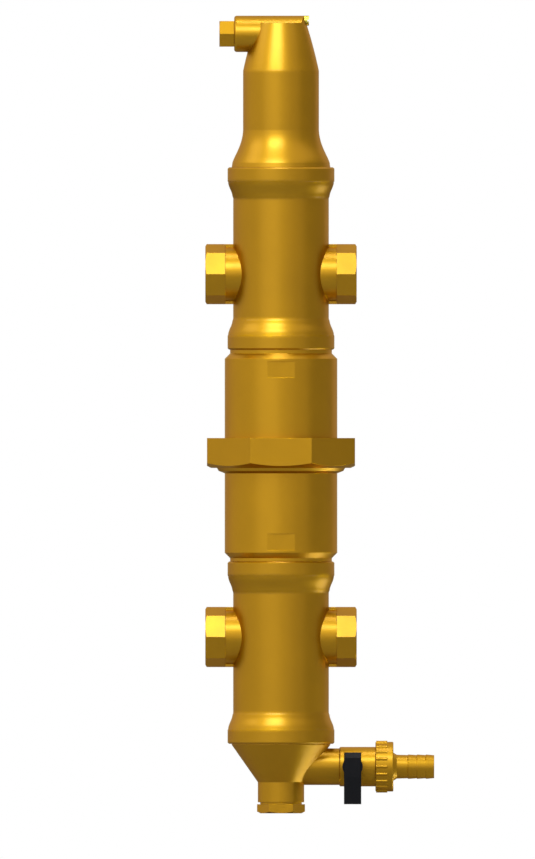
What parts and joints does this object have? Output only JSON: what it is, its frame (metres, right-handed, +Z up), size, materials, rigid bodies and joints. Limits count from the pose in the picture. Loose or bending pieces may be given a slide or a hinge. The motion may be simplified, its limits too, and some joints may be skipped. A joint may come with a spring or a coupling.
{
  "type": "air and dirt separator",
  "caption": "Upright brass hydraulic separator with side pipe ports, an air vent head with a float valve on top, and a dirt drain with a ball valve and hose tail below.",
  "frame": {"origin": "centre of the bottom plug's flat lower face, on the main axis", "axes": "+Z up along the main axis, +X towards the side with the drain valve, front faces -Y"},
  "size_m": [0.1285, 0.083, 0.4478],
  "materials": {
    "brass_casting": "cast and turned, satin",
    "brass_bright": "turned, bright",
    "copper": "drawn, bright",
    "stainless": "stamped, brushed",
    "seal_rubber": "matt",
    "fibre_gasket": "matt",
    "float_plastic": "moulded",
    "seat_plastic": "moulded",
    "handle_plastic": "moulded, satin"
  },
  "bodies": {
    "housing": {"bottom_plug": "brass_bright", "plug_gasket": "brass_bright", "drain_cone": "brass_casting", "lower_body": "brass_casting", "lower_sleeve": "brass_casting", "union_nut": "brass_casting", "union_seal": "seal_rubber", "upper_sleeve": "brass_casting", "upper_body": "brass_casting", "vent_head": "brass_casting", "vent_plug": "brass_bright", "vent_plug_seal": "seal_rubber", "bleed_screw": "brass_bright", "float_guide": "brass_bright", "nozzle_bracket": "brass_bright", "lever_pin": "stainless", "drain_valve_body": "brass_bright", "stem_seal": "seal_rubber", "inlet_ball_seat": "seat_plastic", "outlet_ball_seat": "seat_plastic", "ball_retainer": "brass_bright", "hose_nut": "brass_bright", "hose_gasket": "fibre_gasket", "hose_tail": "brass_bright", "lower_element_core_tube": "copper", "lower_element_coil": "copper", "lower_element_bottom_plate": "copper", "lower_element_top_plate": "copper", "upper_element_core_tube": "copper", "upper_element_coil": "copper", "upper_element_bottom_plate": "copper", "upper_element_top_plate": "copper"},
    "drain_lever": {"handle": "handle_plastic", "valve_stem": "brass_bright", "drain_ball": "stainless"},
    "float": {"vent_float": "float_plastic", "float_rod": "stainless"},
    "vent_lever": {"vent_lever": "stainless", "valve_pad": "seal_rubber"}
  },
  "joints": [
    {"name": "drain_lever_turn", "type": "hinge", "parent": "housing", "child": "drain_lever", "pos_m": [0.0402, -0.018, 0.0262], "axis": [0, -1, 0], "range_deg": [0, 90]},
    {"name": "float_slide", "type": "slide", "parent": "housing", "child": "float", "axis": [0, 0, 1], "range_m": [0, 0.003]},
    {"name": "vent_lever_hinge", "type": "hinge", "parent": "housing", "child": "vent_lever", "pos_m": [-0.006, 0, 0.42179], "axis": [0, -1, 0], "range_deg": [0, 12.4]}
  ],
  "couplings": [
    {"joint": "vent_lever_hinge", "follows": "float_slide", "rad_per_m": 71.429}
  ]
}
